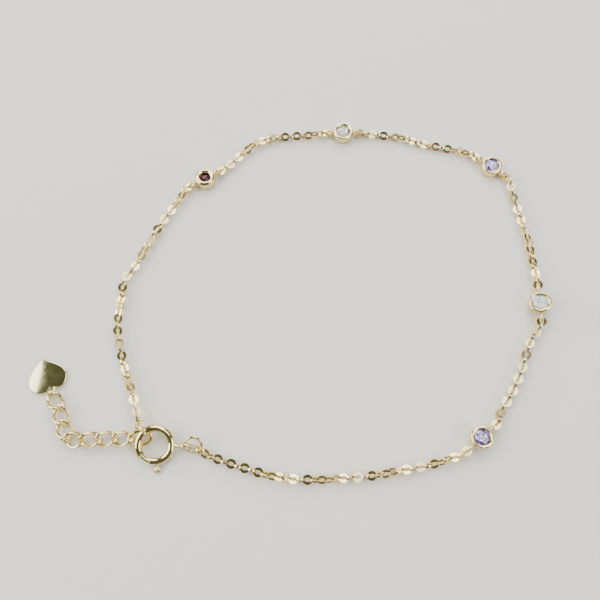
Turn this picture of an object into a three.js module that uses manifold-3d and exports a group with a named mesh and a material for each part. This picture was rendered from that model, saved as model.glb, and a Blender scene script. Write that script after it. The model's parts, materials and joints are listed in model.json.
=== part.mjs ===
// A fine gold station bracelet with five bezel-set round stones on a flat-link cable chain.
// A spring ring closes it on the jump ring of an eight-link extender that ends in a plain heart tag.
// It lies closed on a flat surface: millimetres, +Z up, the origin under the middle of its box.

import * as THREE from 'three';
import { mergeVertices } from 'three/addons/utils/BufferGeometryUtils.js';
import { ConvexGeometry } from 'three/addons/geometries/ConvexGeometry.js';
import Module from 'manifold-3d';

const wasm = await Module();
wasm.setup();

// ---- driving dimensions ----
const LINK = { end: 0.19, thickness: 0.2, width: 1.21, hole: 0.46, shoulder: 0.44 };
const BEZEL = {
  radius: 1.4, foot: 1.22, taper: 0.3, height: 1.4, lip: 0.95, groove: 1.1, back: 0.75, chamfer: 0.1,
};
const STONE = { radius: 1.04, girdle: 0.06, crown: 0.3, pavilion: 0.86, table: 0.58 };
const GIRDLE_Z = 0.33;
const LOOP = { radius: 0.5, wire: 0.18, sunk: 0.12 };
const CLASP = { radius: 1.985, tube: 0.465, bore: 0.36, bolt: 0.29 };
const GAP_SIDES = [218, 255];
const KNOB = {
  angle: 278, radius: 2.97, halfWidth: 0.475, halfLength: 0.45, halfThickness: 0.27, neck: 0.13,
};
const TRAVEL = 36;
const JUMP = { radius: 0.985, wire: 0.16 };
const EYELET = { radius: 0.7, wire: 0.2 };
const CONNECTOR = { radius: 1.0, wire: 0.16, angle: 134, out: 2.18, lean: 9 };
const END_RING = { radius: 0.55, wire: 0.13 };
const CURB = { halfLength: 1.36, halfWidth: 0.85, wire: 0.205 };
const HEART = { thickness: 0.5, bevel: 0.12 };
const BAIL = { radius: 0.58, wire: 0.15, rise: 30, roll: 50, x: 0.33, y: -2.02, z: 0.33 };

// Stations in travel order from the clasp, with the heading of the chain through each.
const STATIONS = [
  { name: '1', x: 22.82, y: -19.26, heading: 39.5, lean: -7, faceDown: false },
  { name: '2', x: 31.96, y: -2.23, heading: 88.5, lean: -14, faceDown: false },
  { name: '3', x: 27.6, y: 17.8, heading: 142, lean: 0, faceDown: false },
  { name: '4', x: 6.9, y: 23.25, heading: 180, lean: 0, faceDown: false },
  { name: '5', x: -12.5, y: 15.95, heading: 210, lean: 0, faceDown: true },
];

// Chain sections in travel order: the points that each passes, and its slow twist in degrees.
const CHAIN_Z = 0.65;
const SECTIONS = [
  {
    name: 'chain_1', links: 40, roll: [119, 90, 180, 270, 360, 443],
    through: [
      [-11.3, -20.8, 0.5], [-9.8, -21.5], [-6.5, -22.6], [-0.7, -24.0], [7.9, -23.8], [12.2, -23.2],
      [17.0, -22.25],
    ],
  },
  {
    name: 'chain_2', links: 19, roll: [-7, -14],
    through: [[25.3, -16.6], [27.3, -13.6], [29.0, -10.3], [30.5, -6.8]],
  },
  {
    name: 'chain_3', links: 20, roll: [-14, 90],
    through: [[31.9, 2.9], [31.5, 7.1], [30.7, 11.2], [30.2, 13.4]],
  },
  {
    name: 'chain_4', links: 21, roll: [0, 180],
    through: [[22.7, 20.5], [18.6, 21.4], [15.0, 22.5], [11.3, 23.05]],
  },
  {
    name: 'chain_5', links: 21, roll: [0, 180],
    through: [[2.4, 23.0], [-1.2, 22.7], [-4.7, 22.0], [-6.3, 21.0], [-9.0, 18.4]],
  },
  {
    name: 'chain_6', links: 42, roll: [0, 360],
    through: [
      [-16.0, 12.7], [-18.0, 9.6], [-19.7, 6.2], [-21.5, 2.7], [-22.6, 0.9], [-22.6, -1.1],
      [-22.9, -5.0], [-22.0, -8.9], [-20.7, -12.5],
    ],
  },
];

// The clasp lies propped on the connector ring: its far side is raised.
const CLASP_PLACE = { x: -16.85, y: -20.1, z: 0.925, raisedSide: 118, tilt: 13 };
const EYELET_PLACE = { x: -13.12, y: -20.22, turn: 5 };
const JUMP_PLACE = { x: -12.2, y: -20.05, z: 0.93, tilt: 32, chainAt: -45, chainRadius: 0.58 };
const END_RING_PLACE = [-18.87, -17.64, 1.25];
const LAST_JOINT = [-18.93, -17.42, 1.25];

// Extender links from the connector ring outwards; heading is the way each points.
const EXTENDER = [
  { x: -18.83, y: -19.27, z: 0.55, heading: 190, roll: -13, pitch: -6, twist: 10 },
  { x: -20.74, y: -19.35, z: 0.75, heading: 180, roll: 21, pitch: 0, twist: -55 },
  { x: -22.8, y: -19.41, z: 0.68, heading: 184, roll: 10, pitch: 1, twist: -55 },
  { x: -24.83, y: -19.5, z: 0.63, heading: 182, roll: 0, pitch: 0, twist: -55 },
  { x: -26.8, y: -19.55, z: 0.65, heading: 170, roll: 0, pitch: 0, twist: -55 },
  { x: -28.1, y: -18.35, z: 0.75, heading: 118, roll: 10, pitch: 0, twist: -55 },
  { x: -28.8, y: -16.53, z: 0.68, heading: 112, roll: 5, pitch: 0, twist: -55 },
  { x: -29.74, y: -14.82, z: 0.62, heading: 131, roll: 17, pitch: 6, twist: -55 },
];
const HEART_PLACE = { x: -31.32, y: -11.5, heading: 112 };

const GOLD = 0xdcc98f;
const PALE_STONE = 0xe6ecf4;
const UP = new THREE.Vector3(0, 0, 1);

// ---- small helpers ----
const radians = THREE.MathUtils.degToRad;

function goldMaterial() {
  return new THREE.MeshStandardMaterial({ color: GOLD, roughness: 0.16, metalness: 1 });
}

function stoneMaterial() {
  return new THREE.MeshStandardMaterial({ color: PALE_STONE, roughness: 0.03, metalness: 0 });
}

function headingVector(degrees) {
  return new THREE.Vector3(Math.cos(radians(degrees)), Math.sin(radians(degrees)), 0);
}

// One closed mesh with shared vertices, ready to join or cut.
function welded(geometry) {
  geometry.deleteAttribute('normal');
  geometry.deleteAttribute('uv');
  return mergeVertices(geometry, 1e-5);
}

function toSolid(geometry) {
  const closed = welded(geometry);
  return new wasm.Manifold(new wasm.Mesh({
    numProp: 3,
    vertProperties: Float32Array.from(closed.attributes.position.array),
    triVerts: Uint32Array.from(closed.index.array),
  }));
}

function fromSolid(solid) {
  const mesh = solid.getMesh();
  const geometry = new THREE.BufferGeometry();
  geometry.setAttribute('position', new THREE.BufferAttribute(mesh.vertProperties, 3));
  geometry.setIndex(new THREE.BufferAttribute(mesh.triVerts, 1));
  return geometry;
}

function join(...geometries) {
  return fromSolid(geometries.map(toSolid).reduce((sum, solid) => sum.add(solid)));
}

function cut(geometry, ...cutters) {
  return fromSolid(cutters.map(toSolid).reduce((rest, solid) => rest.subtract(solid), toSolid(geometry)));
}

// A wire ring in the XY plane about the origin.
function wireRing({ radius, wire }, segments = 12, sides = 5) {
  return new THREE.TorusGeometry(radius, wire, sides, segments);
}

// An arc about Z, for tubes that follow the clasp's circle.
class CircleArc extends THREE.Curve {
  constructor(radius, fromDegrees, toDegrees) {
    super();
    this.radius = radius;
    this.from = radians(fromDegrees);
    this.to = radians(toDegrees);
  }

  getPoint(t, target = new THREE.Vector3()) {
    const angle = THREE.MathUtils.lerp(this.from, this.to, t);
    return target.set(this.radius * Math.cos(angle), this.radius * Math.sin(angle), 0);
  }
}

function roundTube(curve, radius, sides, steps) {
  const section = new THREE.Shape();
  for (let i = 0; i < sides; i += 1) {
    const angle = (2 * Math.PI * (i + 0.5)) / sides;
    const x = radius * Math.cos(angle);
    const y = radius * Math.sin(angle);
    if (i === 0) section.moveTo(x, y);
    else section.lineTo(x, y);
  }
  section.closePath();
  return new THREE.ExtrudeGeometry(section, { extrudePath: curve, steps, bevelEnabled: false });
}

// ---- flat-link cable chain ----

// Joint frames at equal steps along a smooth route: each is where two links bear on each other.
function jointFrames(points, links, rollKeys) {
  const route = new THREE.CatmullRomCurve3(points, false, 'centripetal');
  route.arcLengthDivisions = 800;
  const frames = [];
  for (let i = 0; i <= links; i += 1) {
    const point = route.getPointAt(i / links);
    const along = route.getTangentAt(i / links);
    const span = (i / links) * (rollKeys.length - 1);
    const key = Math.min(Math.floor(span), rollKeys.length - 2);
    const roll = radians(THREE.MathUtils.lerp(rollKeys[key], rollKeys[key + 1], span - key));
    const side = new THREE.Vector3().crossVectors(UP, along).normalize().applyAxisAngle(along, roll);
    frames.push({ point, along, side, up: new THREE.Vector3().crossVectors(along, side) });
  }
  return frames;
}

// Outline and slot of a flat link of the given pitch, both counter-clockwise, centred on the link.
function flatLinkOutline(pitch) {
  const edge = LINK.thickness / 2;
  const quarter = [
    [pitch / 2 + LINK.end, edge],
    [LINK.shoulder, LINK.shoulder * 0.98],
  ];
  const slotCorner = [[pitch / 2, edge]];
  const ring = (corner, top) => [
    ...corner,
    ...top,
    ...corner.map(([x, y]) => [-x, y]).reverse(),
    ...corner.map(([x, y]) => [-x, -y]),
    ...top.map(([x, y]) => [x, -y]),
    ...corner.map(([x, y]) => [x, -y]).reverse(),
  ].map(([x, y]) => new THREE.Vector2(x, y));
  const outline = ring(quarter, [[0, LINK.width / 2]]);
  return { outline, slot: ring(slotCorner, [[0, LINK.hole / 2]]).reverse() };
}

// A run of flat links, each turned a quarter from the last and bearing on it over one small
// square, so that the whole run is a single body.
function cableChain(frames) {
  const pitch = frames[0].point.distanceTo(frames[1].point);
  const { outline, slot } = flatLinkOutline(pitch);
  const flat = [...outline, ...slot];
  const faces = THREE.ShapeUtils.triangulateShape(outline, [slot]);
  const edge = LINK.thickness / 2;
  const positions = [];
  const index = [];
  const addVertex = (vector) => positions.push(vector.x, vector.y, vector.z) / 3 - 1;
  const corners = frames.map(({ point, side, up }) => {
    const corner = (a, b) => {
      const vertex = point.clone().addScaledVector(side, a * edge);
      return addVertex(vertex.addScaledVector(up, b * edge));
    };
    return { '1,1': corner(1, 1), '1,-1': corner(1, -1), '-1,1': corner(-1, 1), '-1,-1': corner(-1, -1) };
  });

  // The vertex at x along a link, y across its width and z through its thickness.
  const linkVertex = (k, upright, x, y, z) => {
    const across = upright ? -z : y;
    const rise = upright ? y : z;
    if (Math.abs(Math.abs(x) - pitch / 2) < 1e-6 && Math.abs(Math.abs(y) - edge) < 1e-6) {
      return corners[x > 0 ? k + 1 : k][`${Math.sign(across)},${Math.sign(rise)}`];
    }
    const [start, end] = [frames[k], frames[k + 1]];
    const t = THREE.MathUtils.clamp(x / pitch + 0.5, 0, 1);
    const beyond = x - THREE.MathUtils.clamp(x, -pitch / 2, pitch / 2);
    const nearer = x > 0 ? end : start;
    const vertex = start.point.clone().lerp(end.point, t).addScaledVector(nearer.along, beyond);
    vertex.addScaledVector(start.side.clone().lerp(end.side, t), across);
    return addVertex(vertex.addScaledVector(start.up.clone().lerp(end.up, t), rise));
  };

  const wall = (low, high, skip) => {
    low.forEach((_, i) => {
      const next = (i + 1) % low.length;
      if (skip(i, next)) return;
      index.push(low[i], low[next], high[next], low[i], high[next], high[i]);
    });
  };

  for (let k = 0; k + 1 < frames.length; k += 1) {
    const upright = k % 2 === 1;
    const low = flat.map(({ x, y }) => linkVertex(k, upright, x, y, -edge));
    const high = flat.map(({ x, y }) => linkVertex(k, upright, x, y, edge));
    faces.forEach(([a, b, c]) => index.push(high[a], high[b], high[c], low[c], low[b], low[a]));
    const count = outline.length;
    wall(low.slice(0, count), high.slice(0, count), () => false);
    // A joint's square is inside the metal, so its slot wall is left out.
    wall(low.slice(count), high.slice(count), (i, next) => {
      const x = slot[i].x;
      const isEnd = Math.abs(x - slot[next].x) < 1e-6 && Math.abs(Math.abs(x) - pitch / 2) < 1e-6;
      const isFree = (x < 0 && k === 0) || (x > 0 && k + 2 === frames.length);
      return isEnd && !isFree;
    });
  }
  const geometry = new THREE.BufferGeometry();
  geometry.setAttribute('position', new THREE.Float32BufferAttribute(positions, 3));
  geometry.setIndex(index);
  return geometry;
}

// ---- stations: bezel cup, two soldered loops, round brilliant stone ----

// Round the setting's axis, with z = 0 halfway up.
function bezelCup() {
  const { radius, foot, taper, height, lip, groove, back, chamfer } = BEZEL;
  const top = height / 2;
  const play = 0.06;
  const profile = [
    [back, -top], [foot, -top], [radius, taper - top], [radius, top - chamfer],
    [radius - chamfer, top], [lip, top], [groove, GIRDLE_Z + STONE.girdle + play],
    [groove, GIRDLE_Z - play], [back, GIRDLE_Z - play - (groove - back)], [back, -top],
  ];
  const lathe = new THREE.LatheGeometry(profile.map(([r, z]) => new THREE.Vector2(r, z)), 14);
  return lathe.rotateX(Math.PI / 2);
}

function stationLoop(sign) {
  const reach = BEZEL.radius + LOOP.radius + LOOP.wire - LOOP.sunk;
  return wireRing(LOOP, 10).rotateX(Math.PI / 2).translate(sign * reach, 0, 0);
}

// Distance from a station's middle to the joint of the first link beyond its loop.
const STATION_REACH = BEZEL.radius + LOOP.radius + LOOP.wire - LOOP.sunk + LINK.end / 2;

// A round brilliant: flat table, kites, stars, halves, girdle, pavilion mains and a point.
function brilliant() {
  const { radius, girdle, crown, pavilion, table } = STONE;
  const tableRadius = table * radius;
  const starRadius = tableRadius + 0.45 * (radius - tableRadius);
  const lowerRadius = 0.22 * radius;
  const half = Math.PI / 8;
  const crownTop = girdle + crown;
  const crownSlope = crown / (radius - tableRadius);
  const starZ = crownTop - (starRadius * Math.cos(half) - tableRadius) * crownSlope;
  const lowerZ = pavilion * ((lowerRadius * Math.cos(half)) / radius - 1);
  const points = [new THREE.Vector3(0, 0, -pavilion)];
  const ringOf = (count, r, z, turn) => {
    for (let i = 0; i < count; i += 1) {
      const angle = turn + (2 * Math.PI * i) / count;
      points.push(new THREE.Vector3(r * Math.cos(angle), r * Math.sin(angle), z));
    }
  };
  ringOf(8, lowerRadius, lowerZ, half);
  ringOf(16, radius, 0, 0);
  ringOf(16, radius, girdle, 0);
  ringOf(8, starRadius, starZ, half);
  ringOf(8, tableRadius, crownTop, 0);
  return new ConvexGeometry(points).translate(0, 0, GIRDLE_Z);
}

function station({ name, x, y, heading, lean, faceDown }) {
  const bezel = new THREE.Mesh(join(bezelCup(), stationLoop(1), stationLoop(-1)), goldMaterial());
  bezel.name = `bezel_${name}`;
  const stone = new THREE.Mesh(welded(brilliant()), stoneMaterial());
  stone.name = `stone_${name}`;
  const group = new THREE.Group();
  group.add(bezel, stone);
  group.rotation.z = radians(heading);
  group.rotateX(radians(lean + (faceDown ? 180 : 0)));
  group.position.set(x, y, 0);
  group.updateMatrixWorld(true);
  group.position.z = -new THREE.Box3().setFromObject(bezel, true).min.z;
  group.updateMatrixWorld(true);
  return group;
}

// ---- clasp ----

// The clasp's tube about Z, open where the bolt shows and slotted outside for the knob's travel.
function claspTube() {
  const [gapStart, gapEnd] = GAP_SIDES;
  const { radius, bore } = CLASP;
  const tube = roundTube(new CircleArc(radius, gapEnd, gapStart + 360), CLASP.tube, 10, 16);
  const boltBore = roundTube(new CircleArc(radius, gapEnd - 5, KNOB.angle + TRAVEL + 22), bore, 6, 6);
  const noseSocket = roundTube(new CircleArc(radius, gapStart - 10, gapStart + 4), bore, 6, 1);
  return cut(tube, boltBore, noseSocket, knobSlot());
}

// A channel through the tube's outer wall, a little longer than the neck's travel.
function knobSlot() {
  const reach = (KNOB.neck + 0.05) / radians(CLASP.radius);
  const path = new CircleArc(CLASP.radius, KNOB.angle - reach, KNOB.angle + TRAVEL + reach);
  const halfWidth = KNOB.neck + 0.05;
  const section = new THREE.Shape();
  section.moveTo(-halfWidth, -0.1);
  section.lineTo(-halfWidth, -0.7);
  section.lineTo(halfWidth, -0.7);
  section.lineTo(halfWidth, -0.1);
  section.closePath();
  return new THREE.ExtrudeGeometry(section, { extrudePath: path, steps: 6, bevelEnabled: false });
}

// The bolt inside the tube, showing in the gap, with its neck and thumb knob.
function claspTrigger() {
  const [gapStart] = GAP_SIDES;
  const bolt = roundTube(new CircleArc(CLASP.radius, gapStart - 4, KNOB.angle + 6), CLASP.bolt, 6, 6);
  const neckLength = KNOB.radius - CLASP.radius;
  const neck = new THREE.CylinderGeometry(KNOB.neck, KNOB.neck, neckLength, 6);
  neck.translate(0, CLASP.radius + neckLength / 2, 0);
  const knob = new THREE.SphereGeometry(1, 8, 6).scale(KNOB.halfWidth, KNOB.halfLength, KNOB.halfThickness);
  knob.translate(0, KNOB.radius, 0);
  const outward = radians(KNOB.angle - 90);
  return join(bolt, neck.rotateZ(outward), knob.rotateZ(outward));
}

// The clasp's group, turned about the level line square to its raised side.
function claspGroup() {
  const { x, y, z, raisedSide, tilt } = CLASP_PLACE;
  const group = new THREE.Group();
  group.quaternion.setFromAxisAngle(headingVector(raisedSide - 90), radians(tilt));
  group.position.set(x, y, z);
  group.updateMatrixWorld(true);
  return group;
}

// The upright ring soldered to the clasp by a short cone.
function eyelet() {
  const { x, y, turn } = EYELET_PLACE;
  const middle = new THREE.Vector3(x, y, EYELET.radius + EYELET.wire);
  const ring = wireRing(EYELET, 12).rotateX(Math.PI / 2).rotateZ(radians(turn));
  ring.translate(...middle);
  const nearEnd = headingVector(180 + turn).multiplyScalar(EYELET.radius).add(middle);
  const tubeSide = new THREE.Vector3(CLASP.radius + 0.1, 0, 0).applyMatrix4(claspGroup().matrixWorld);
  const cone = roundTube(new THREE.LineCurve3(tubeSide, nearEnd), 0.2, 6, 1);
  return join(ring, cone);
}

function mesh(name, geometry, material = goldMaterial()) {
  const part = new THREE.Mesh(geometry, material);
  part.name = name;
  return part;
}

// A point of the jump ring's plane, at a distance from its middle and an angle round it.
function jumpRingPoint(degrees, distance) {
  const { x, y, z, tilt } = JUMP_PLACE;
  const point = headingVector(degrees).multiplyScalar(distance);
  return point.applyAxisAngle(new THREE.Vector3(1, 0, 0), radians(tilt)).add(new THREE.Vector3(x, y, z));
}

function jumpRing() {
  const ring = mesh('jump_ring', wireRing(JUMP, 12));
  ring.position.set(JUMP_PLACE.x, JUMP_PLACE.y, JUMP_PLACE.z);
  ring.rotation.x = radians(JUMP_PLACE.tilt);
  return ring;
}

// The upright ring that the clasp hooks, on a radial line of the clasp.
function connectorRing() {
  const { radius, wire, angle, out, lean } = CONNECTOR;
  const ring = mesh('connector_ring', wireRing(CONNECTOR, 12).rotateX(Math.PI / 2 + radians(lean)));
  ring.rotation.z = radians(angle);
  const middle = headingVector(angle).multiplyScalar(out);
  ring.position.set(CLASP_PLACE.x + middle.x, CLASP_PLACE.y + middle.y, radius + wire);
  return ring;
}

function endRing() {
  const ring = mesh('end_ring', wireRing(END_RING, 10));
  ring.position.set(...END_RING_PLACE);
  return ring;
}

// An oval wire link along X, its two ends twisted opposite ways.
class CurbLoop extends THREE.Curve {
  constructor(twist) {
    super();
    this.twist = radians(twist);
  }

  getPoint(t, target = new THREE.Vector3()) {
    const angle = 2 * Math.PI * t;
    const x = CURB.halfLength * Math.cos(angle);
    const y = CURB.halfWidth * Math.sin(angle);
    const twist = this.twist * Math.cos(angle);
    return target.set(x, y * Math.cos(twist), y * Math.sin(twist));
  }
}

function curbLink(twist) {
  return welded(new THREE.TubeGeometry(new CurbLoop(twist), 10, CURB.wire, 5, true));
}

// Half of the heart from its notch to its tip, and the same half mirrored.
function heartOutline() {
  const outline = new THREE.Shape();
  outline.moveTo(0, -1.68);
  outline.bezierCurveTo(0.3, -2.15, 1.15, -2.25, 1.72, -1.87);
  outline.bezierCurveTo(2.42, -1.4, 2.62, -0.5, 2.22, 0.22);
  outline.bezierCurveTo(1.85, 0.9, 0.8, 1.55, 0, 2.26);
  outline.bezierCurveTo(-0.8, 1.55, -1.85, 0.9, -2.22, 0.22);
  outline.bezierCurveTo(-2.62, -0.5, -2.42, -1.4, -1.72, -1.87);
  outline.bezierCurveTo(-1.15, -2.25, -0.3, -2.15, 0, -1.68);
  return outline;
}

function heartCharm() {
  const { thickness, bevel } = HEART;
  const plate = new THREE.ExtrudeGeometry(heartOutline(), {
    depth: thickness - 2 * bevel, curveSegments: 4,
    bevelThickness: bevel, bevelSize: bevel, bevelOffset: -bevel, bevelSegments: 1,
  }).translate(0, 0, bevel);
  const bail = wireRing(BAIL, 10).rotateY(radians(-BAIL.roll)).translate(0, -BAIL.radius, 0);
  return join(plate, bail.rotateX(radians(-BAIL.rise)).translate(BAIL.x, BAIL.y, BAIL.z));
}

const model = new THREE.Group();
const stations = STATIONS.map(station);
model.add(...stations);

function stationPort(group, along) {
  return new THREE.Vector3(along, 0, 0).applyMatrix4(group.matrixWorld);
}

SECTIONS.forEach(({ name, links, roll, through }, i) => {
  const before = stations[i - 1];
  const after = stations[i];
  const lead = STATION_REACH + 0.84;
  const start = before
    ? [stationPort(before, STATION_REACH), stationPort(before, lead)]
    : [jumpRingPoint(JUMP_PLACE.chainAt, JUMP_PLACE.chainRadius)];
  const end = after
    ? [stationPort(after, -lead), stationPort(after, -STATION_REACH)]
    : [new THREE.Vector3(...LAST_JOINT)];
  const points = [...start, ...through.map(([x, y, z = CHAIN_Z]) => new THREE.Vector3(x, y, z)), ...end];
  model.add(mesh(name, cableChain(jointFrames(points, links, roll))));
});

const clasp = claspGroup();
const eyeletInClasp = eyelet().applyMatrix4(clasp.matrixWorld.clone().invert());
clasp.add(mesh('clasp_ring', join(claspTube(), eyeletInClasp)), mesh('clasp_trigger', claspTrigger()));
model.add(clasp, jumpRing(), connectorRing(), endRing());
EXTENDER.forEach(({ x, y, z, heading, roll, pitch, twist }, i) => {
  const link = mesh(`extender_link_${i + 1}`, curbLink(twist));
  link.rotation.z = radians(heading);
  link.rotateY(radians(pitch));
  link.rotateX(radians(roll));
  link.position.set(x, y, z);
  model.add(link);
});
const heart = mesh('heart_charm', heartCharm());
heart.rotation.z = radians(HEART_PLACE.heading - 90);
heart.position.set(HEART_PLACE.x, HEART_PLACE.y, 0);
model.add(heart);

export default model;
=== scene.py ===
import json
import math
import random

import bmesh
import bpy
from mathutils import Matrix, Quaternion, Vector


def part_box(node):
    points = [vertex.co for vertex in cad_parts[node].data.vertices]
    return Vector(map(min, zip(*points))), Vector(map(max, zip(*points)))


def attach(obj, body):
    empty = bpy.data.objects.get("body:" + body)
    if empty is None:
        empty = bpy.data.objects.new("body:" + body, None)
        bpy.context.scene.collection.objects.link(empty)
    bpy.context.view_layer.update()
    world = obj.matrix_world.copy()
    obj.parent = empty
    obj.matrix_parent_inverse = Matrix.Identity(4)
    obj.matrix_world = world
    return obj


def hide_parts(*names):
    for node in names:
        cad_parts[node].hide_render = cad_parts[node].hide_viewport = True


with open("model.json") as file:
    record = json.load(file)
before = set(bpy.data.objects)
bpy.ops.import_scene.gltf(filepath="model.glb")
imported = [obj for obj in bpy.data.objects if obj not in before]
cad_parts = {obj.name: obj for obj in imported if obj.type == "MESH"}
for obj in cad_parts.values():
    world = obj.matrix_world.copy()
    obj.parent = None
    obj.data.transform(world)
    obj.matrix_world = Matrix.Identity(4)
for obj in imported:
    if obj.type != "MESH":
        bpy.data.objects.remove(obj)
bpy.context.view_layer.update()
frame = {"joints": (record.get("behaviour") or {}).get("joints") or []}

# A fine gold station bracelet: five bezel-set diamonds on a flat-link cable chain, closed by a
# spring ring on the connector of an extender that ends in a heart tag. Lengths are in metres, and
# angles in degrees.

MM = 0.001
UP = Vector((0, 0, 1))
SAME_PLACE = 1e-7

# ---- sizes of the pieces ----
LINK_WIDTH = 1.21 * MM          # across a flat chain link
LINK_BAR = 0.185 * MM           # metal beyond the joint, at a link's end
LINK_THICKNESS = 0.2 * MM
SLOT_WIDTH = 0.46 * MM
LOOSENESS = 7                   # degrees that a link may turn in its neighbours
LOOP_RADIUS = 0.5 * MM
LOOP_WIRE = 0.18 * MM
LOOP_REACH = 1.96 * MM          # from a station's middle to its loop's
STATION_REACH = 2.055 * MM      # from a station's middle to the first joint of the chain
STATION_LEAD = 0.84 * MM        # the chain runs straight for this much beyond that joint
STONE_RADIUS = 1.04 * MM
STONE_HEIGHT = 0.33 * MM        # from the setting's middle up to the girdle
GIRDLE = 0.06 * MM
CROWN = 0.3 * MM
PAVILION = 0.86 * MM
TABLE_SHARE = 0.58              # of the stone's radius
LOWER_SHARE = 0.22              # where the lower girdle facets end, as a share of the radius
STAR_SHARE = 0.45               # of the way from the table to the girdle
STAR_INSET = 0.24 * MM
GOLDEN = 0.618                  # steps through the tints so that neighbouring facets differ
CLASP_RADIUS = 1.985 * MM
CLASP_TUBE = 0.465 * MM
TUBE_WALL = 0.1 * MM
COLLAR_WIRE = 0.055 * MM
COLLAR_INSET = 0.02 * MM
CLASP_GAP = (218, 255)          # the angles of the tube's two ends
SLOT_REACH = 5.2                # degrees that the slot runs beyond the knob's middle
TUBE_SLOT = 0.18 * MM           # half the slot's width
BOLT_WIRE = 0.29 * MM
BOLT_TIP = 4                    # degrees that the bolt reaches past the gap, into the tube
BOLT_TAIL = 6                   # degrees that it runs on behind the knob
KNOB_ANGLE = 278
KNOB_RADIUS = 2.97 * MM
KNOB_TRAVEL = 36
NECK_WIRE = 0.13 * MM
KNOB_SIZE = (0.45, 0.475, 0.27)  # half its reach outwards, width and thickness, in millimetres
GROOVE_PLACE = 0.16 * MM
GROOVE_WIDTH = 0.055 * MM
GROOVE_DEPTH = 0.28             # share of the knob's thickness
EYELET_RADIUS = 0.7 * MM
EYELET_WIRE = 0.22 * MM
EYELET_TURN = 5
EYELET_MIDDLE = Vector((-0.01312, -0.02022, 0.0009))
EYELET_SIDE = Vector((-1.03, -0.09, 0)) * EYELET_RADIUS    # where the solder meets it
SOLDER_RADII = (0.27 * MM, 0.2 * MM)
JUMP_RADIUS = 0.985 * MM
JUMP_WIRE = 0.18 * MM
CONNECTOR_RADIUS = 1.0 * MM
CONNECTOR_WIRE = 0.16 * MM
CONNECTOR_HEADING = 134
CONNECTOR_LEAN = 9
END_RING_RADIUS = 0.55 * MM
END_RING_WIRE = 0.13 * MM
CURB_HALF_LENGTH = 1.36 * MM
CURB_HALF_WIDTH = 0.85 * MM
CURB_WIRE = 0.205 * MM
HEART_THICKNESS = 0.5 * MM
HEART_EDGE = 0.14 * MM
HEART_CROWN = 0.08 * MM         # how far its middle stands above its rim
HEART_REACH = 2.4 * MM          # from its middle to the side of its rim
BAIL_RADIUS = 0.58 * MM
BAIL_WIRE = 0.15 * MM
BAIL_RISE = 30
BAIL_ROLL = 50
BAIL_FOOT = Vector((0.33, -2.02, 0.33)) * MM

# The wall of a setting cut through, in millimetres from its axis and its middle: foot, outside,
# lip, and the seat inside.
BEZEL_PROFILE = [
    (0.72, -0.52), (0.75, -0.62), (0.84, -0.68), (0.97, -0.7), (1.1, -0.69), (1.21, -0.64), (1.3, -0.55),
    (1.37, -0.42), (1.4, -0.26), (1.4, 0.42), (1.385, 0.54), (1.33, 0.645), (1.24, 0.7), (1.13, 0.7),
    (1.04, 0.665), (0.97, 0.6), (0.94, 0.53), (1.09, 0.41), (1.09, 0.27), (1.0, -0.2), (0.77, -0.47),
]
# The right half of the heart's rim, from the notch to the point: three arcs of four control points.
HEART_ARCS = [
    ((0, -1.68), (0.3, -2.15), (1.15, -2.25), (1.72, -1.87)),
    ((1.72, -1.87), (2.42, -1.4), (2.62, -0.5), (2.22, 0.22)),
    ((2.22, 0.22), (1.85, 0.9), (0.8, 1.55), (0, 2.26)),
]
HEART_RINGS = (0.97, 0.9, 0.8, 0.68, 0.54, 0.4, 0.25, 0.1)  # shares of the rim's size, for the crown

# ---- where things lie ----
# Heading of the chain through each station, its lean, and whether it lies face down.
STATIONS = {
    1: (39.5, -7, False),
    2: (88.5, -14, False),
    3: (142, 0, False),
    4: (180, 0, False),
    5: (210, 0, True),
}

CHAIN_HEIGHT = 0.65 * MM

# Each chain section: its links, the keys of its slow twist in degrees, and the points it passes,
# which lie at the chain's height if they give none.
SECTIONS = [
    (40, (119, 90, 180, 270, 360, 443),
     [(-0.0113, -0.0208, 0.0005), (-0.0098, -0.0215), (-0.0065, -0.0226), (-0.0007, -0.024),
      (0.0079, -0.0238), (0.0122, -0.0232), (0.017, -0.02225)]),
    (19, (-7, -14), [(0.0253, -0.0166), (0.0273, -0.0136), (0.029, -0.0103), (0.0305, -0.0068)]),
    (20, (-14, 90), [(0.0319, 0.0029), (0.0315, 0.0071), (0.0307, 0.0112), (0.0302, 0.0134)]),
    (21, (0, 180), [(0.0227, 0.0205), (0.0186, 0.0214), (0.015, 0.0225), (0.0113, 0.02305)]),
    (21, (0, 180),
     [(0.0024, 0.023), (-0.0012, 0.0227), (-0.0047, 0.022), (-0.0063, 0.021), (-0.009, 0.0184)]),
    (42, (0, 360),
     [(-0.016, 0.0127), (-0.018, 0.0096), (-0.0197, 0.0062), (-0.0215, 0.0027), (-0.0226, 0.0009),
      (-0.0226, -0.0011), (-0.0229, -0.005), (-0.022, -0.0089), (-0.0207, -0.0125)]),
]
LAST_JOINT = Vector((-0.01893, -0.01742, 0.00125))
JUMP_TILT = 32
JUMP_JOINT = (-45, 0.58 * MM)   # the chain's start in the jump ring: angle, distance from its middle

# Extender links: place, heading, roll, pitch and the twist of their ends.
EXTENDER = [
    ((-0.01883, -0.01927, 0.00055), 190, -13, -6, 10),
    ((-0.02074, -0.01935, 0.00075), 180, 21, 0, -55),
    ((-0.0228, -0.01941, 0.00068), 184, 10, 1, -55),
    ((-0.02483, -0.0195, 0.00063), 182, 0, 0, -55),
    ((-0.0268, -0.01955, 0.00065), 170, 0, 0, -55),
    ((-0.0281, -0.01835, 0.00075), 118, 10, 0, -55),
    ((-0.0288, -0.01653, 0.00068), 112, 5, 0, -55),
    ((-0.02974, -0.01482, 0.00062), 131, 17, 6, -55),
]
HEART_MIDDLE = Vector((-0.03132, -0.0115, 0))
HEART_HEADING = 112


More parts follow.
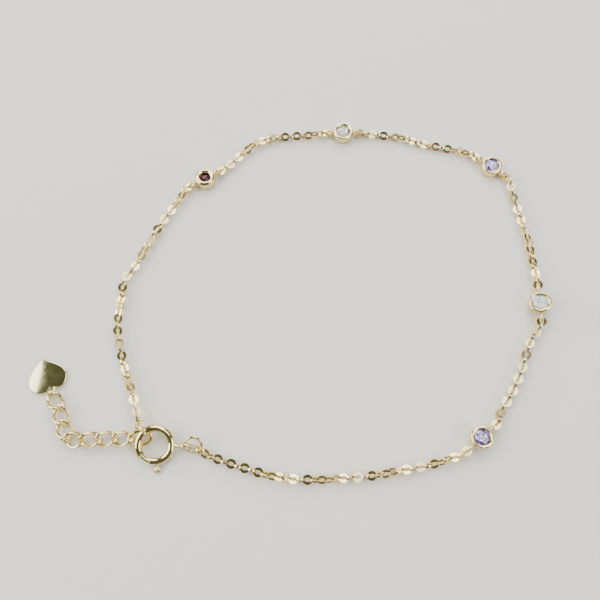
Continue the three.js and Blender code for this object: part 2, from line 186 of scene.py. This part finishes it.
# ---- colours and materials ----
def linear(code):
    """A hex colour as the linear values a shader takes."""
    parts = [int(code[i:i + 2], 16) / 255 for i in (1, 3, 5)]
    return tuple(p / 12.92 if p <= 0.04045 else ((p + 0.055) / 1.055) ** 2.4 for p in parts) + (1,)


def add_node(tree, kind, settings=None, inputs=None, stops=None, between="LINEAR"):
    """A node with its settings; an input is a value or another node's output, and stops are a ramp's."""
    node = tree.nodes.new(kind)
    for key, value in (settings or {}).items():
        setattr(node, key, value)
    for key, value in (inputs or {}).items():
        if isinstance(value, bpy.types.NodeSocket):
            tree.links.new(value, node.inputs[key])
        else:
            node.inputs[key].default_value = value
    if stops:
        node.color_ramp.interpolation = between
        elements = node.color_ramp.elements
        while len(elements) < len(stops):
            elements.new(0.5)
        for element, (position, code) in zip(elements, stops):
            element.position = position
            element.color = linear(code)
    return node


def new_material(name):
    """A material, its tree and shader, and the coordinates its patterns lie in."""
    material = bpy.data.materials.new(name)
    material.use_nodes = True
    tree = material.node_tree
    shader = tree.nodes["Principled BSDF"]
    place = add_node(tree, "ShaderNodeTexCoord")
    return material, tree, shader, place.outputs["Object"]


# Marks per metre: patches of skin oil 1.1 mm across, hairlines 0.2 mm long and 0.03 mm wide, which is
# coarser than real ones so that they show, and scratches 2.4 mm long.
OIL_PATCHES = 900
HAIRLINES = 4500
SCRATCHES = 420
MARK_DEPTH = 0.02 * MM


def gold(name, pale, deep, roughness, hairline, scratch=0):
    """Polished 18 carat gold: a clear mirror, softened by hairlines and by skin oil in patches."""
    material, tree, shader, place = new_material(name)
    patches = add_node(tree, "ShaderNodeTexNoise", inputs={
        "Vector": place, "Scale": OIL_PATCHES, "Detail": 3})
    colour = add_node(tree, "ShaderNodeValToRGB", inputs={"Fac": patches.outputs["Fac"]},
                      stops=[(0.3, deep), (0.7, pale)])
    tree.links.new(colour.outputs["Color"], shader.inputs["Base Color"])
    gloss = add_node(tree, "ShaderNodeMapRange", inputs={
        "Value": patches.outputs["Fac"], "From Min": 0.25, "From Max": 0.75,
        "To Min": roughness * 0.7, "To Max": roughness * 1.4})
    tree.links.new(gloss.outputs["Result"], shader.inputs["Roughness"])
    stretched = add_node(tree, "ShaderNodeMapping", inputs={
        "Vector": place, "Scale": (1, 9, 3), "Rotation": (0.3, 0.5, 0.7)})
    hairlines = add_node(tree, "ShaderNodeTexNoise", inputs={
        "Vector": stretched.outputs["Vector"], "Scale": HAIRLINES, "Detail": 4})
    bump = add_node(tree, "ShaderNodeBump", inputs={
        "Height": hairlines.outputs["Fac"], "Strength": hairline, "Distance": MARK_DEPTH})
    if scratch:
        # a few scratches from wear, fifty times as long as they are wide
        drawn = add_node(tree, "ShaderNodeMapping", {"vector_type": "TEXTURE"}, {
            "Vector": place, "Scale": (1, 0.02, 1), "Rotation": (0, 0, 0.45)})
        lines = add_node(tree, "ShaderNodeTexNoise", inputs={
            "Vector": drawn.outputs["Vector"], "Scale": SCRATCHES, "Detail": 0})
        cut = add_node(tree, "ShaderNodeMapRange", inputs={
            "Value": lines.outputs["Fac"], "From Min": 0.72, "From Max": 0.76, "To Min": 0, "To Max": 1})
        bump = add_node(tree, "ShaderNodeBump", inputs={
            "Height": cut.outputs["Result"], "Strength": scratch, "Distance": MARK_DEPTH,
            "Normal": bump.outputs["Normal"]})
    tree.links.new(bump.outputs["Normal"], shader.inputs["Normal"])
    shader.inputs["Metallic"].default_value = 1
    return material


def diamond(name, tints):
    """Cut diamond: every facet throws back another piece of light, so each is painted its own tint, a
    painted reflection with the odd painted white flash.
    """
    material, tree, shader, _ = new_material(name)
    facet = add_node(tree, "ShaderNodeAttribute", {"attribute_name": "facet"})
    stops = [(i / len(tints), tint) for i, tint in enumerate(tints)]
    colour = add_node(tree, "ShaderNodeValToRGB", inputs={"Fac": facet.outputs["Fac"]},
                      stops=stops, between="CONSTANT")
    tree.links.new(colour.outputs["Color"], shader.inputs["Base Color"])
    shader.inputs["IOR"].default_value = 2.42
    shader.inputs["Roughness"].default_value = 0.02
    shader.inputs["Transmission Weight"].default_value = 0.25
    shader.inputs["Specular IOR Level"].default_value = 0.3
    return material


# Flat-rolled wire: flat faces that flash like small mirrors or go dark, slightly dragged by the rolls.
CHAIN_GOLD = gold("flat_rolled_gold", "#F8E6A6", "#E4CC88", 0.12, 0.012)
# Turned and polished: bright rings that follow the rim, and a soft gleam down the wall.
SETTING_GOLD = gold("turned_polished_gold", "#F6E6AC", "#E8D294", 0.09, 0.02)
# Drawn tube: one long line of light and one long dark line that run round with it.
CLASP_GOLD = gold("drawn_tube_gold", "#F2E5AA", "#E0D092", 0.08, 0.02)
# Drawn round wire: a thin bright line on every bend.
CURB_GOLD = gold("drawn_wire_gold", "#F7E6A8", "#E4CF8E", 0.1, 0.03)
# Pressed sheet: one broad mirror, paler and greener, with a few scratches from wear.
TAG_GOLD = gold("pressed_sheet_gold", "#EAE6B8", "#D8D2A0", 0.08, 0.02, 0.035)
# Clear stones, their colours painted reflections of five kinds of light. Violet fire: deep facets with one
# painted white flash.
VIOLET_DIAMOND = diamond(
    "diamond_violet_fire", ["#6C4CB0", "#432C80", "#281848", "#9C80DA", "#553F92", "#F2ECFF"])
# Icy white with faint blue facets, all painted reflections.
ICE_DIAMOND = diamond(
    "diamond_ice", ["#FFFFFF", "#D8F0F6", "#98C6D2", "#FFFFFF", "#BFE2EA", "#FFFFFF"])
# A softer violet, paler and pinker, painted as reflected light.
LAVENDER_DIAMOND = diamond(
    "diamond_lavender", ["#9678D4", "#6B4CAC", "#46307E", "#C0A8EE", "#8064C2", "#FBF8FF"])
# Nearly colourless, its painted shadows grey-green for the gold reflected from behind it.
PALE_DIAMOND = diamond(
    "diamond_grey_green", ["#D8DCC8", "#8F937A", "#4E523C", "#E6EAD8", "#74785E", "#FFFFFF"])
# Face down: a plum pavilion in the shade of the open back.
PLUM_DIAMOND = diamond(
    "diamond_in_shadow", ["#9A6680", "#5A3448", "#B8889E", "#4A2C3A", "#CCA8B8", "#7E566C"])


# ---- making and placing ----
def angle_matrix(degrees, axis):
    """A turn about one axis."""
    return Matrix.Rotation(math.radians(degrees), 4, axis)


def placed(middle, *turns):
    """A place with the turns made there, the last one first."""
    matrix = Matrix.Translation(middle)
    for turn in turns:
        matrix = matrix @ turn
    return matrix


def spun(shape, section, steps, angle=360, start=0):
    """Spins a closed section (points in X and Z) about Z, and returns the new verts."""
    first = [shape.verts.new((x, 0, z)) for x, z in section]
    edges = [shape.edges.new((first[i - 1], first[i])) for i in range(len(first))]
    bmesh.ops.rotate(shape, verts=first, cent=(0, 0, 0), matrix=Matrix.Rotation(math.radians(start), 3, "Z"))
    before = set(shape.verts) - set(first)
    whole = angle == 360
    bmesh.ops.spin(shape, geom=first + edges, cent=(0, 0, 0), axis=(0, 0, 1),
                   angle=math.radians(angle), steps=steps, use_merge=whole, use_duplicate=False)
    return [v for v in shape.verts if v not in before]


def round_section(middle, radius, sides):
    """The points round a wire's section, whose middle is this far from the axis."""
    angles = [2 * math.pi * (i + 0.5) / sides for i in range(sides)]
    return [(middle + radius * math.cos(a), radius * math.sin(a)) for a in angles]


def wire_ring(shape, radius, wire, matrix, steps=36, sides=12):
    """A closed ring of round wire."""
    verts = spun(shape, round_section(radius, wire, sides), steps)
    bmesh.ops.transform(shape, matrix=matrix, verts=verts)


def finish_piece(shape, name, node, body, material, smooth=40):
    """The bmesh as a named piece that rides on its body and stands for its CAD node."""
    bmesh.ops.remove_doubles(shape, verts=shape.verts, dist=SAME_PLACE)
    bmesh.ops.recalc_face_normals(shape, faces=shape.faces)
    data = bpy.data.meshes.new(name)
    shape.to_mesh(data)
    shape.free()
    data.materials.append(material)
    if smooth:
        data.polygons.foreach_set("use_smooth", [True] * len(data.polygons))
        data.set_sharp_from_angle(angle=math.radians(smooth))
    piece = bpy.data.objects.new(name, data)
    bpy.context.scene.collection.objects.link(piece)
    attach(piece, body)
    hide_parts(node)
    return piece


# ---- chain ----
def route_reader(points):
    """The point and direction at any share of a smooth route's length."""
    last = len(points) - 1

    def point_at(t):
        place = min(max(t, 0), 1) * last
        index = min(int(place), last - 1)
        weight = place - index
        here, there = points[index], points[index + 1]
        before = points[index - 1] if index else here * 2 - there
        after = points[index + 2] if index + 2 <= last else there * 2 - here
        knots = [(b - a).length ** 0.5 for a, b in ((before, here), (here, there), (there, after))]
        chord = (there - here) / knots[1]
        leave = (here - before) / knots[0] - (there - before) / (knots[0] + knots[1]) + chord
        arrive = chord - (after - here) / (knots[1] + knots[2]) + (after - there) / knots[2]
        leave, arrive = leave * knots[1], arrive * knots[1]
        return (here + leave * weight + (there * 3 - here * 3 - leave * 2 - arrive) * weight ** 2
                + (here * 2 - there * 2 + leave + arrive) * weight ** 3)

    divisions = 800
    lengths = [0]
    previous = point_at(0)
    for i in range(1, divisions + 1):
        current = point_at(i / divisions)
        lengths.append(lengths[-1] + (current - previous).length)
        previous = current

    def read(share):
        wanted = share * lengths[-1]
        low = 0
        while low < divisions - 1 and lengths[low + 1] < wanted:
            low += 1
        t = (low + (wanted - lengths[low]) / (lengths[low + 1] - lengths[low])) / divisions
        step = 0.0001
        return point_at(t), (point_at(min(t + step, 1)) - point_at(max(t - step, 0))).normalized()
    return read


def joint_frames(points, links, roll_keys):
    """Point, direction and side of every joint of a chain section, with its slow twist."""
    read = route_reader(points)
    frames = []
    for i in range(links + 1):
        point, along = read(i / links)
        span = i / links * (len(roll_keys) - 1)
        key = min(int(span), len(roll_keys) - 2)
        roll = roll_keys[key] + (roll_keys[key + 1] - roll_keys[key]) * (span - key)
        side = UP.cross(along).normalized()
        side.rotate(Quaternion(along, math.radians(roll)))
        frames.append((point, along, side))
    return frames


def flat_link(shape, start, end, side, turn):
    """One flat-rolled link: a four-cornered section spun round, then drawn out over its slot."""
    outer, inner, half = 1.0, 0.5, LINK_THICKNESS / 2
    verts = spun(shape, [(inner, -half), (outer, -half), (outer, half), (inner, half)], 18)
    pitch = (end - start).length
    for vert in verts:
        radius = Vector(vert.co[:2]).length
        share = (radius - inner) / (outer - inner)
        vert.co.x *= (pitch / 2 + LINK_BAR * share) / radius
        vert.co.y *= (SLOT_WIDTH / 2 + (LINK_WIDTH - SLOT_WIDTH) / 2 * share) / radius
    along = (end - start).normalized()
    across = (side - along * side.dot(along)).normalized()
    axes = Matrix((along, across, along.cross(across))).transposed().to_4x4()
    bmesh.ops.transform(shape, matrix=placed((start + end) / 2, axes, angle_matrix(turn, "X")), verts=verts)


def chain(number, points, links, roll_keys):
    """One chain section: every other link is turned by a quarter, and each lies a little loose."""
    shape = bmesh.new()
    frames = joint_frames(points, links, roll_keys)
    loose = random.Random(number)
    for k in range(links):
        start, end = frames[k][0], frames[k + 1][0]
        side = frames[k][2] + frames[k + 1][2]
        quarter = 90 if k % 2 else 0
        flat_link(shape, start, end, side, quarter + loose.uniform(-LOOSENESS, LOOSENESS))
    name = f"flat_chain_{number}"
    finish_piece(shape, name, f"chain_{number}", "bracelet", CHAIN_GOLD, smooth=35)


# ---- stations ----
def station_matrix(number):
    """The place of a setting: X along the chain, Z out of its lip."""
    heading, lean, face_down = STATIONS[number]
    low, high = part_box(f"bezel_{number}")
    turn = lean + (180 if face_down else 0)
    return placed((low + high) / 2, angle_matrix(heading, "Z"), angle_matrix(turn, "X"))


def bezel(number):
    """A turned cup with a rubbed-over lip, an open back, and a loop soldered on each side."""
    shape = bmesh.new()
    spun(shape, [(x * MM, z * MM) for x, z in BEZEL_PROFILE], 56)
    for sign in (-1, 1):
        upright = placed((sign * LOOP_REACH, 0, 0), angle_matrix(90, "X"))
        wire_ring(shape, LOOP_RADIUS, LOOP_WIRE, upright, 28, 10)
    bmesh.ops.transform(shape, matrix=station_matrix(number), verts=shape.verts)
    finish_piece(shape, f"setting_{number}", f"bezel_{number}", "bracelet", SETTING_GOLD)


def facet_place(middle):
    """Sorts facets by height, and round the stone within each height."""
    return round(middle.z / MM, 1), math.atan2(middle.y, middle.x)


def brilliant(number, material):
    """A round brilliant: the hull of its culet, lower girdle, girdle, star and table corners."""
    shape = bmesh.new()
    radius = STONE_RADIUS
    table = TABLE_SHARE * radius
    star = table + STAR_SHARE * (radius - table)
    lower = LOWER_SHARE * radius
    top_height = GIRDLE + CROWN
    half = math.pi / 8
    star_height = top_height - (star * math.cos(half) - table) * CROWN / (radius - table)
    lower_height = PAVILION * (lower * math.cos(half) / radius - 1)
    for count, distance, height, turn in (
            (8, lower, lower_height, half), (16, radius, 0, 0), (16, radius, GIRDLE, 0),
            (8, star, star_height, half), (8, table, top_height, 0)):
        verts = bmesh.ops.create_circle(shape, segments=count, radius=distance)["verts"]
        bmesh.ops.transform(shape, matrix=placed((0, 0, height), Matrix.Rotation(turn, 4, "Z")), verts=verts)
    shape.verts.new((0, 0, -PAVILION))
    bmesh.ops.delete(shape, geom=list(shape.edges), context="EDGES_FACES")
    bmesh.ops.convex_hull(shape, input=list(shape.verts))
    bmesh.ops.dissolve_limit(shape, angle_limit=math.radians(0.5), verts=shape.verts, edges=shape.edges)
    # the pavilion's mains, seen through the table, part it into a star
    top = max(shape.faces, key=lambda f: f.calc_center_median().z)
    bmesh.ops.inset_region(shape, faces=[top], thickness=STAR_INSET, use_even_offset=True)
    bmesh.ops.poke(shape, faces=[top])
    bmesh.ops.translate(shape, vec=(0, 0, STONE_HEIGHT), verts=shape.verts)
    bmesh.ops.transform(shape, matrix=station_matrix(number), verts=shape.verts)
    name = f"diamond_{number}"
    piece = finish_piece(shape, name, f"stone_{number}", "bracelet", material, smooth=0)
    facet = piece.data.attributes.new("facet", "FLOAT", "FACE")
    middle = station_matrix(number).inverted()
    order = sorted(piece.data.polygons, key=lambda f: facet_place(middle @ f.center))
    for i, polygon in enumerate(order):
        facet.data[polygon.index].value = (i * GOLDEN + number / len(STATIONS)) % 1


# ---- clasp ----
CLASP_JOINT = frame["joints"][0]
CLASP_MIDDLE = Vector(CLASP_JOINT["pos_m"])
CLASP_MATRIX = placed(CLASP_MIDDLE, UP.rotation_difference(Vector(CLASP_JOINT["axis"])).to_matrix().to_4x4())


def tube_end(shape, degrees):
    """The rolled collar round one end of the clasp's tube."""
    matrix = placed((0, 0, 0), angle_matrix(degrees, "Z"), Matrix.Translation((CLASP_RADIUS, 0, 0)),
                    angle_matrix(90, "X"))
    wire_ring(shape, CLASP_TUBE - COLLAR_INSET, COLLAR_WIRE, matrix, 28, 8)


def clasp_ring():
    """The spring ring's drawn tube, slotted outside for the knob, with its soldered eyelet."""
    shape = bmesh.new()
    start, end = CLASP_GAP[1], CLASP_GAP[0] + 360
    spun(shape, round_section(CLASP_RADIUS, CLASP_TUBE, 24), 162, angle=end - start, start=start)
    slot_from, slot_to = KNOB_ANGLE - SLOT_REACH, KNOB_ANGLE + KNOB_TRAVEL + SLOT_REACH
    opening = []
    for face in shape.faces:
        middle = face.calc_center_median()
        degrees = math.degrees(math.atan2(middle.y, middle.x)) % 360
        outward = math.hypot(middle.x, middle.y) - CLASP_RADIUS
        if slot_from < degrees < slot_to and outward > 0 and abs(middle.z) < TUBE_SLOT:
            opening.append(face)
    bmesh.ops.delete(shape, geom=opening, context="FACES")
    bmesh.ops.recalc_face_normals(shape, faces=shape.faces)
    bmesh.ops.solidify(shape, geom=list(shape.faces), thickness=TUBE_WALL)
    for degrees in CLASP_GAP:
        tube_end(shape, degrees)
    bmesh.ops.transform(shape, matrix=CLASP_MATRIX, verts=shape.verts)
    eyelet(shape)
    finish_piece(shape, "spring_ring_tube", "clasp_ring", "bracelet", CLASP_GOLD)


def eyelet(shape):
    """The upright ring, joined to the tube by a short neck of solder."""
    upright = placed(EYELET_MIDDLE, angle_matrix(EYELET_TURN, "Z"), angle_matrix(90, "X"))
    wire_ring(shape, EYELET_RADIUS, EYELET_WIRE, upright)
    near = EYELET_MIDDLE + EYELET_SIDE
    side = CLASP_MATRIX @ Vector((CLASP_RADIUS + CLASP_TUBE * 0.7, 0, 0))
    direction = near - side
    thick, thin = SOLDER_RADII
    neck = bmesh.ops.create_cone(shape, cap_ends=True, segments=16, radius1=thick, radius2=thin,
                                 depth=direction.length)["verts"]
    turn = UP.rotation_difference(direction.normalized()).to_matrix().to_4x4()
    bmesh.ops.transform(shape, matrix=placed((near + side) / 2, turn), verts=neck)


def clasp_trigger():
    """The sprung bolt with its grooved thumb knob."""
    shape = bmesh.new()
    start, end = CLASP_GAP[0] - BOLT_TIP, KNOB_ANGLE + BOLT_TAIL
    spun(shape, round_section(CLASP_RADIUS, BOLT_WIRE, 16), 36, angle=end - start, start=start)
    bmesh.ops.holes_fill(shape, edges=[e for e in shape.edges if e.is_boundary])
    neck = bmesh.ops.create_cone(shape, cap_ends=True, segments=14, radius1=NECK_WIRE, radius2=NECK_WIRE,
                                 depth=KNOB_RADIUS - CLASP_RADIUS)["verts"]
    outward = angle_matrix(KNOB_ANGLE, "Z")
    bmesh.ops.transform(shape, verts=neck, matrix=outward @ placed(
        ((KNOB_RADIUS + CLASP_RADIUS) / 2, 0, 0), angle_matrix(90, "Y")))
    # two grooves for the thumbnail run outwards across the knob
    knob = bmesh.ops.create_uvsphere(shape, u_segments=64, v_segments=36, radius=1)["verts"]
    bmesh.ops.scale(shape, vec=Vector(KNOB_SIZE) * MM, verts=knob)
    for vert in knob:
        off_groove = (abs(vert.co.y) - GROOVE_PLACE) / GROOVE_WIDTH
        vert.co.z *= 1 - GROOVE_DEPTH * math.exp(-off_groove ** 2)
    bmesh.ops.transform(shape, matrix=outward @ Matrix.Translation((KNOB_RADIUS, 0, 0)), verts=knob)
    bmesh.ops.transform(shape, matrix=CLASP_MATRIX, verts=shape.verts)
    finish_piece(shape, "spring_ring_bolt", "clasp_trigger", "trigger", CLASP_GOLD)


def single_ring(name, node, radius, wire, *turns):
    """A loose ring of round wire, in the middle of its node's box."""
    low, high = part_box(node)
    shape = bmesh.new()
    wire_ring(shape, radius, wire, placed((low + high) / 2, *turns), 48, 14)
    finish_piece(shape, name, node, "bracelet", CURB_GOLD)


# ---- extender and heart ----
def curb_link(number, place, heading, roll, pitch, twist):
    """An oval of round wire whose two ends are twisted opposite ways."""
    shape = bmesh.new()
    # a ring of radius 1 first, whose points are then set out from the oval
    wire = 0.25
    verts = spun(shape, round_section(1, wire, 12), 48)
    for vert in verts:
        radius = math.hypot(vert.co.x, vert.co.y)
        unit = Vector((vert.co.x, vert.co.y)) / radius
        off = (radius - 1) / wire * CURB_WIRE
        lift = vert.co.z / wire * CURB_WIRE
        outward = Vector((unit.x / CURB_HALF_LENGTH, unit.y / CURB_HALF_WIDTH)).normalized()
        x = unit.x * CURB_HALF_LENGTH + outward.x * off
        y = unit.y * CURB_HALF_WIDTH + outward.y * off
        turned = Matrix.Rotation(math.radians(twist) * unit.x, 2) @ Vector((y, lift))
        vert.co = (x, turned.x, turned.y)
    turns = angle_matrix(heading, "Z"), angle_matrix(pitch, "Y"), angle_matrix(roll, "X")
    bmesh.ops.transform(shape, matrix=placed(Vector(place), *turns), verts=verts)
    name = f"curb_link_{number}"
    finish_piece(shape, name, f"extender_link_{number}", "bracelet", CURB_GOLD)


def curve_points(corners, count):
    """Points of one cubic arc from its four control points, without its last."""
    points = []
    for i in range(count):
        t = i / count
        weights = ((1 - t) ** 3, 3 * t * (1 - t) ** 2, 3 * t * t * (1 - t), t ** 3)
        points.append(Vector([sum(w * c[k] for w, c in zip(weights, corners)) for k in (0, 1)]))
    return points


def heart():
    """The pressed heart tag, its rim rolled over, with the bail ring soldered at its notch."""
    shape = bmesh.new()
    right = [p for arc in HEART_ARCS for p in curve_points(arc, 12)]
    outline = right + [Vector(HEART_ARCS[-1][-1])] + [Vector((-p.x, p.y)) for p in reversed(right[1:])]
    verts = [shape.verts.new((p.x * MM, p.y * MM, 0)) for p in outline]
    face = shape.faces.new(verts)
    raised = bmesh.ops.extrude_face_region(shape, geom=[face])["geom"]
    top = [g for g in raised if isinstance(g, bmesh.types.BMVert)]
    bmesh.ops.translate(shape, vec=(0, 0, HEART_THICKNESS), verts=top)
    bmesh.ops.recalc_face_normals(shape, faces=shape.faces)
    rim = [e for e in shape.edges if abs(e.verts[0].co.z - e.verts[1].co.z) < SAME_PLACE]
    bmesh.ops.bevel(shape, geom=rim, offset=HEART_EDGE, affect="EDGES", segments=4, profile=0.5, material=-1)
    # the crown is raised on the large top face, ring by ring
    flat = max(shape.faces, key=lambda f: f.calc_center_median().z + f.calc_area() * 1e3)
    size = 1
    for next_size in HEART_RINGS:
        grown = bmesh.ops.extrude_face_region(shape, geom=[flat])["geom"]
        bmesh.ops.delete(shape, geom=[flat], context="FACES")
        flat = next(g for g in grown if isinstance(g, bmesh.types.BMFace))
        bmesh.ops.scale(shape, vec=(next_size / size, next_size / size, 1), verts=flat.verts)
        size = next_size
    for vert in shape.verts:
        if vert.co.z > HEART_THICKNESS / 2:
            vert.co.z -= HEART_CROWN * Vector(vert.co[:2]).length_squared / HEART_REACH ** 2
    outwards = Matrix.Translation((0, -BAIL_RADIUS, 0))
    bail = placed(BAIL_FOOT, angle_matrix(-BAIL_RISE, "X"), outwards, angle_matrix(-BAIL_ROLL, "Y"))
    wire_ring(shape, BAIL_RADIUS, BAIL_WIRE, bail)
    lying = placed(HEART_MIDDLE, angle_matrix(HEART_HEADING - 90, "Z"))
    bmesh.ops.transform(shape, matrix=lying, verts=shape.verts)
    finish_piece(shape, "heart_tag", "heart_charm", "bracelet", TAG_GOLD)


# ---- build ----
def build_chains():
    """The six sections, from the jump ring through the stations to the end ring."""
    lead = STATION_REACH + STATION_LEAD
    low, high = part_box("jump_ring")
    angle, distance = JUMP_JOINT
    ring = placed((low + high) / 2, angle_matrix(JUMP_TILT, "X"), angle_matrix(angle, "Z"))
    jump = ring @ Vector((distance, 0, 0))
    for i, (links, roll_keys, through) in enumerate(SECTIONS):
        points = [Vector(p) if len(p) == 3 else Vector((*p, CHAIN_HEIGHT)) for p in through]
        if i:
            before = station_matrix(i)
            points = [before @ Vector((STATION_REACH, 0, 0)), before @ Vector((lead, 0, 0))] + points
        else:
            points = [jump] + points
        if i < len(STATIONS):
            after = station_matrix(i + 1)
            points += [after @ Vector((-lead, 0, 0)), after @ Vector((-STATION_REACH, 0, 0))]
        else:
            points.append(LAST_JOINT)
        chain(i + 1, points, links, roll_keys)


build_chains()
STONES = (VIOLET_DIAMOND, ICE_DIAMOND, LAVENDER_DIAMOND, PALE_DIAMOND, PLUM_DIAMOND)
for station_number, stone_material in zip(STATIONS, STONES):
    bezel(station_number)
    brilliant(station_number, stone_material)
clasp_ring()
clasp_trigger()
single_ring("closed_jump_ring", "jump_ring", JUMP_RADIUS, JUMP_WIRE, angle_matrix(JUMP_TILT, "X"))
single_ring("connector", "connector_ring", CONNECTOR_RADIUS, CONNECTOR_WIRE,
            angle_matrix(CONNECTOR_HEADING, "Z"), angle_matrix(90 + CONNECTOR_LEAN, "X"))
single_ring("chain_end_ring", "end_ring", END_RING_RADIUS, END_RING_WIRE)
for link_number, row in enumerate(EXTENDER, 1):
    curb_link(link_number, *row)
heart()


# ---- stage, light and camera ----
FLOOR_REACH = 0.6
BOX_DISTANCE = 0.45             # from the bracelet to each lamp
CAMERA_PLACE = (0.00073, -0.02253, 0.07098)
CAMERA_TARGET = (0.00073, -0.00168, 0.0006)


def floor():
    """A sheet of matt pale card: even, with soft contact shadows."""
    shape = bmesh.new()
    bmesh.ops.create_grid(shape, x_segments=1, y_segments=1, size=FLOOR_REACH)
    data = bpy.data.meshes.new("floor")
    shape.to_mesh(data)
    shape.free()
    material, _, shader, _ = new_material("matt_pale_card")
    shader.inputs["Base Color"].default_value = linear("#E9E6E1")
    shader.inputs["Roughness"].default_value = 0.9
    data.materials.append(material)
    ground = bpy.data.objects.new("floor", data)
    bpy.context.scene.collection.objects.link(ground)


def soft_box(name, direction, size, radiance, colour):
    """A round lit cloth of a given brightness that faces the bracelet."""
    data = bpy.data.lights.new(name, "AREA")
    data.shape = "DISK"
    data.size = size
    area = math.pi * (size / 2) ** 2
    data.energy = radiance * math.pi * area
    data.color = linear(colour)[:3]
    light = bpy.data.objects.new(name, data)
    direction = Vector(direction).normalized()
    light.location = direction * BOX_DISTANCE
    light.rotation_mode = "QUATERNION"
    light.rotation_quaternion = (-direction).to_track_quat("-Z", "Y")
    bpy.context.scene.collection.objects.link(light)


def camera(place, target):
    """Looks down on the bracelet, steeply from its near side."""
    data = bpy.data.cameras.new("camera")
    data.lens = 33.6
    data.sensor_width = 36
    data.clip_start = 0.002
    data.clip_end = 5
    eye = bpy.data.objects.new("camera", data)
    eye.location = place
    eye.rotation_mode = "QUATERNION"
    eye.rotation_quaternion = (Vector(target) - Vector(place)).to_track_quat("-Z", "Y")
    bpy.context.scene.collection.objects.link(eye)
    bpy.context.scene.camera = eye


def studio():
    """A room that is pale low down and dim overhead, so that curved gold keeps dark lines between lights."""
    world = bpy.data.worlds.new("studio")
    world.use_nodes = True
    tree = world.node_tree
    direction = add_node(tree, "ShaderNodeTexCoord").outputs["Generated"]
    height = add_node(tree, "ShaderNodeSeparateXYZ", inputs={"Vector": direction}).outputs["Z"]
    colour = add_node(tree, "ShaderNodeValToRGB", inputs={"Fac": height}, stops=[
        (0.0, "#DAD8D2"), (0.14, "#84837A"), (0.45, "#7C7C70"), (1.0, "#62624E")])
    tree.links.new(colour.outputs["Color"], tree.nodes["Background"].inputs["Color"])
    bpy.context.scene.world = world


floor()
studio()
soft_box("left_box", (-0.85, 0.1, 0.5), 0.5, 5.6, "#FFFEFA")
soft_box("back_box", (0.05, 0.75, 0.66), 0.42, 5.4, "#FFFFFF")
soft_box("right_box", (0.75, -0.3, 0.6), 0.3, 5.2, "#FFFBF4")
soft_box("top_box", (0.3, 0.12, 0.94), 0.22, 4.0, "#FFFFFF")
camera(CAMERA_PLACE, CAMERA_TARGET)
